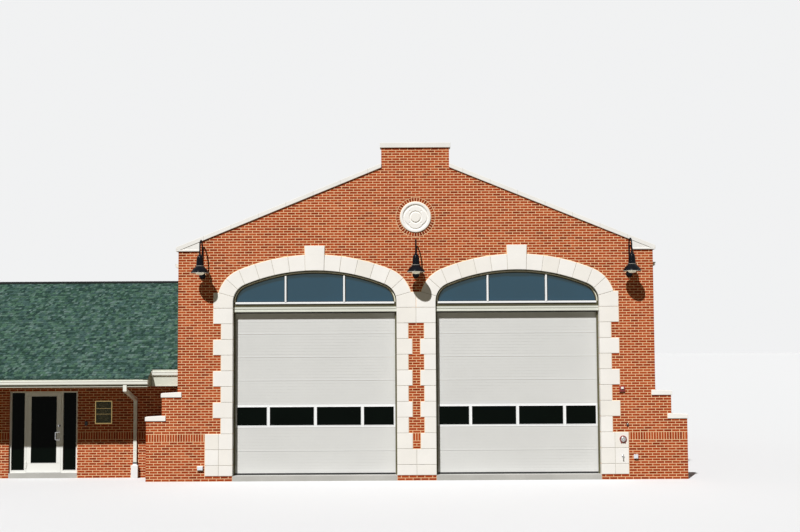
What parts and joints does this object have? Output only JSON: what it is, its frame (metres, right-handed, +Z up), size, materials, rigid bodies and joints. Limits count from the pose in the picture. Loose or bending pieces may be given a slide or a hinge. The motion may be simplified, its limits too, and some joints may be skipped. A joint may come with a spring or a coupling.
{
  "type": "fire station building",
  "caption": "Brick fire station with a gabled parapet front, two stone arches over sectional doors, gooseneck lamps and a low shingled office wing with a glazed entrance.",
  "frame": {"origin": "middle of the building's plan at the bottom of its walls", "axes": "+X to the right along the front as seen from outside, +Y to the back, +Z up; the arched doors face -Y"},
  "size_m": [21.018, 18.971, 8.7999],
  "materials": {
    "brick": "matte fired clay with pale mortar joints",
    "cast_stone": "matte cream cast stone",
    "concrete": "steel-trowelled concrete",
    "shingles": "mineral-surfaced green shingles",
    "ridge_cap": "dark satin",
    "cream_metal": "semi-gloss cream",
    "cream_trim": "painted cream, satin",
    "door_grey": "satin warm grey",
    "white_frame": "satin white",
    "olive_frame": "satin olive bronze",
    "header_cream": "satin cream",
    "transom_glass": "dark tinted",
    "door_glass": "dark",
    "entrance_glass": "dark",
    "entrance_frame": "cream enamelled",
    "lamp_black": "gloss black",
    "steel": "satin",
    "plaque": "cast bronze",
    "bell": "red and chrome",
    "fittings": "grey enamel"
  },
  "bodies": {
    "building": {"bay_downspouts": "cream_metal", "bay_floor": "concrete", "bay_gutters": "cream_metal", "bay_left_wall": "brick", "bay_rear_wall": "brick", "bay_right_wall": "brick", "bay_roof_left": "shingles", "bay_roof_right": "shingles", "centre_lamp_shade": "lamp_black", "centre_pier_stones": "cast_stone", "door_headers": "header_cream", "door_seals": "olive_frame", "door_window_frames": "white_frame", "door_window_glass": "door_glass", "downspout_boots": "white_frame", "entrance_frame": "entrance_frame", "fire_bell": "bell", "front_arch_wall": "brick", "front_coping": "cast_stone", "front_gable": "brick", "front_wall_centre": "brick", "front_wall_left": "brick", "front_wall_right": "brick", "lamp_brackets": "lamp_black", "left_arch_stones": "cast_stone", "left_bay_door": "door_grey", "left_jamb_stones": "cast_stone", "left_lamp_shade": "lamp_black", "left_step_wall": "brick", "medallion": "cast_stone", "plaque": "plaque", "rear_coping": "cast_stone", "ridge_caps": "ridge_cap", "right_arch_stones": "cast_stone", "right_bay_door": "door_grey", "right_jamb_stones": "cast_stone", "right_lamp_shade": "lamp_black", "right_step_wall": "brick", "sidelight_glass": "entrance_glass", "step_wall_caps": "cast_stone", "transom_bars": "white_frame", "transom_frames": "olive_frame", "transom_glass": "transom_glass", "wall_fittings": "fittings", "wing_barge_boards": "cream_trim", "wing_door_lintel": "brick", "wing_downspouts": "cream_metal", "wing_eaves": "cream_trim", "wing_floor": "concrete", "wing_front_wall_left": "brick", "wing_front_wall_right": "brick", "wing_gable_wall": "brick", "wing_gutters": "cream_metal", "wing_rear_wall": "brick", "wing_roof_front": "shingles", "wing_roof_rear": "shingles"},
    "entrance_door": {"entrance_door_leaf": "entrance_frame", "entrance_door_glass": "entrance_glass", "entrance_door_pull": "steel"}
  },
  "joints": [
    {"name": "entrance_door_hinge", "type": "hinge", "parent": "building", "child": "entrance_door", "pos_m": [-6.9575, -7.7745, 1.19547], "axis": [0, 0, 1], "range_deg": [-100, 0]}
  ]
}
